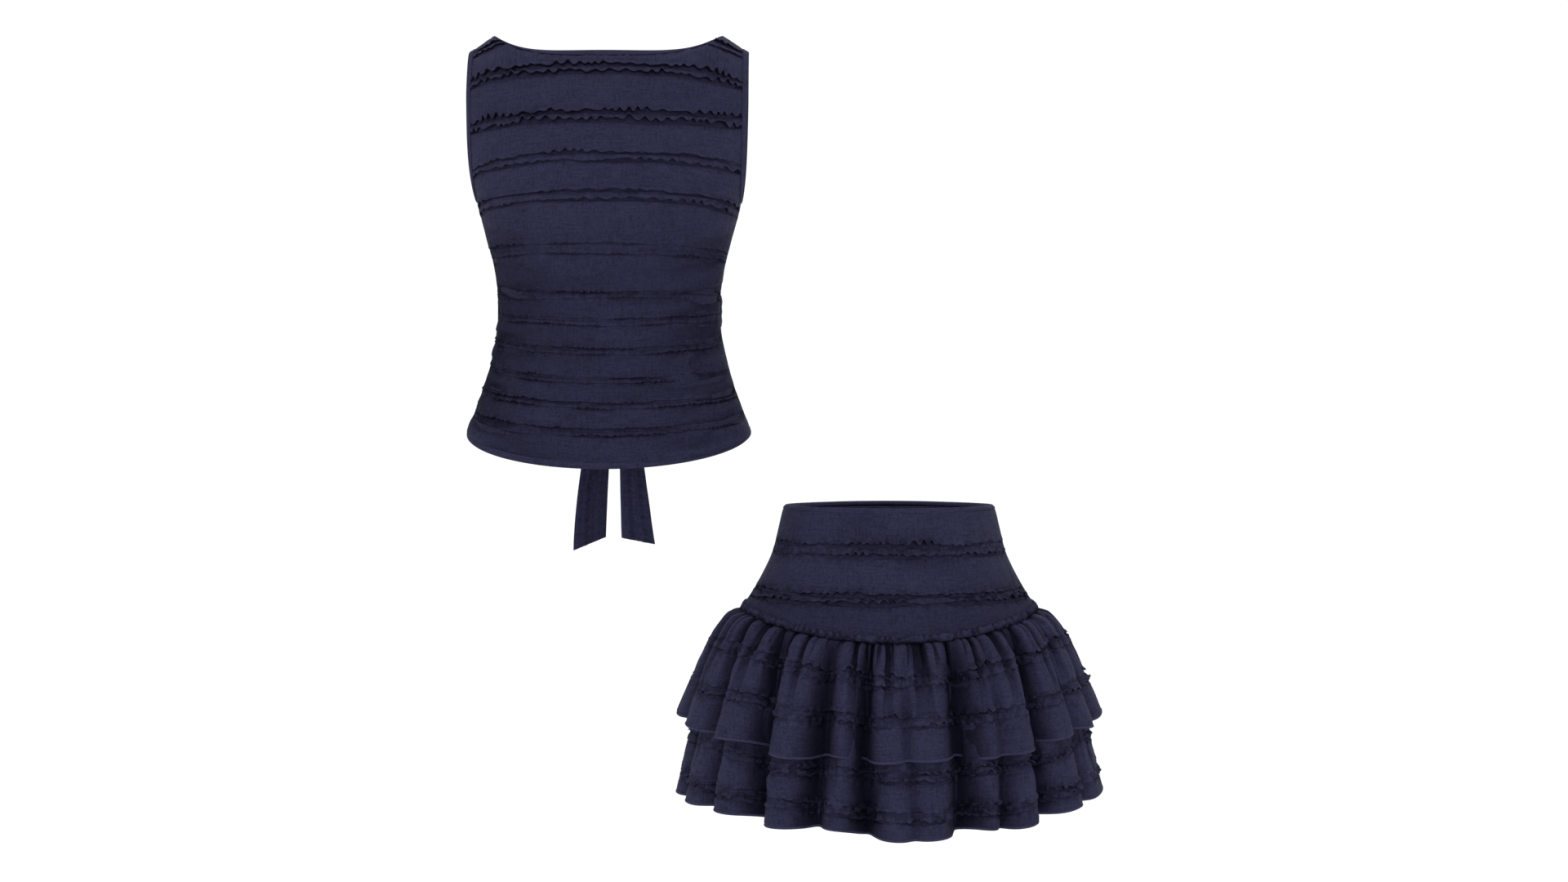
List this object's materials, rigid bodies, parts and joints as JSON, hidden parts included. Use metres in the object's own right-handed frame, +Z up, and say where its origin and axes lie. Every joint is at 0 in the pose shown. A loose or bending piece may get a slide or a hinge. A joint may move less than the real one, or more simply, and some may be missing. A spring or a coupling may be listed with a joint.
{
  "type": "two-piece uniform set",
  "caption": "Navy crinkle-gauze uniform set: a sleeveless boat-neck top with frilled tucks and a tie back, and a mini skirt with a fitted yoke and ruffle tiers.",
  "frame": {"origin": "middle of the skirt's waist, level with its upper edge", "axes": "+Z up, +X to the wearer's left and the viewer's right, -Y to the front of both garments"},
  "size_m": [0.745, 0.377, 0.9049],
  "materials": {
    "gauze_top": "crinkled double gauze, matt",
    "gauze_skirt": "crinkled double gauze, matt",
    "gauze_tie": "crinkled double gauze, folded double",
    "lining": "plain woven lining, matt",
    "stay_tape": "narrow woven tape",
    "elastic": "ribbed braided elastic",
    "label": "blank satin label"
  },
  "bodies": {
    "skirt": {"yoke_front": "gauze_skirt", "yoke_back": "gauze_skirt", "upper_tier_front": "gauze_skirt", "upper_tier_back": "gauze_skirt", "upper_tier_hem": "gauze_skirt", "underskirt_front": "lining", "underskirt_back": "lining", "lower_tier_front": "gauze_skirt", "lower_tier_back": "gauze_skirt", "lower_tier_hem": "gauze_skirt", "waist_facing": "gauze_skirt", "waist_elastic": "elastic", "gather_tape": "stay_tape", "skirt_label": "label"},
    "top": {"top_front_panel": "gauze_top", "top_back_panel": "gauze_top", "top_hem": "gauze_top", "neck_facing": "gauze_top", "armhole_facing_left": "gauze_top", "armhole_facing_right": "gauze_top", "shoulder_tape_left": "stay_tape", "shoulder_tape_right": "stay_tape", "side_elastic_left": "elastic", "side_elastic_right": "elastic", "tie_strap_left": "gauze_tie", "tie_strap_right": "gauze_tie", "bow_knot": "gauze_tie", "neck_label": "label", "care_label": "label"},
    "bow_loop_left": {"bow_loop_left": "gauze_tie"},
    "bow_loop_right": {"bow_loop_right": "gauze_tie"},
    "tie_tail_left": {"tie_tail_left": "gauze_tie"},
    "tie_tail_right": {"tie_tail_right": "gauze_tie"}
  },
  "joints": [
    {"name": "top_lift", "type": "slide", "parent": "skirt", "child": "top", "axis": [0, 0, 1], "range_m": [0, 0.3]},
    {"name": "tail_left_swing", "type": "hinge", "parent": "top", "child": "tie_tail_left", "pos_m": [-0.3345, 0.096, 0.206], "axis": [1, 0, 0], "range_deg": [0, 80]},
    {"name": "tail_right_swing", "type": "hinge", "parent": "top", "child": "tie_tail_right", "pos_m": [-0.3215, 0.096, 0.206], "axis": [1, 0, 0], "range_deg": [0, 80]},
    {"name": "loop_left_lift", "type": "hinge", "parent": "top", "child": "bow_loop_left", "pos_m": [-0.344, 0.096, 0.222], "axis": [0, 1, 0], "range_deg": [0, 60]},
    {"name": "loop_right_lift", "type": "hinge", "parent": "top", "child": "bow_loop_right", "pos_m": [-0.312, 0.096, 0.222], "axis": [0, -1, 0], "range_deg": [0, 60]}
  ]
}
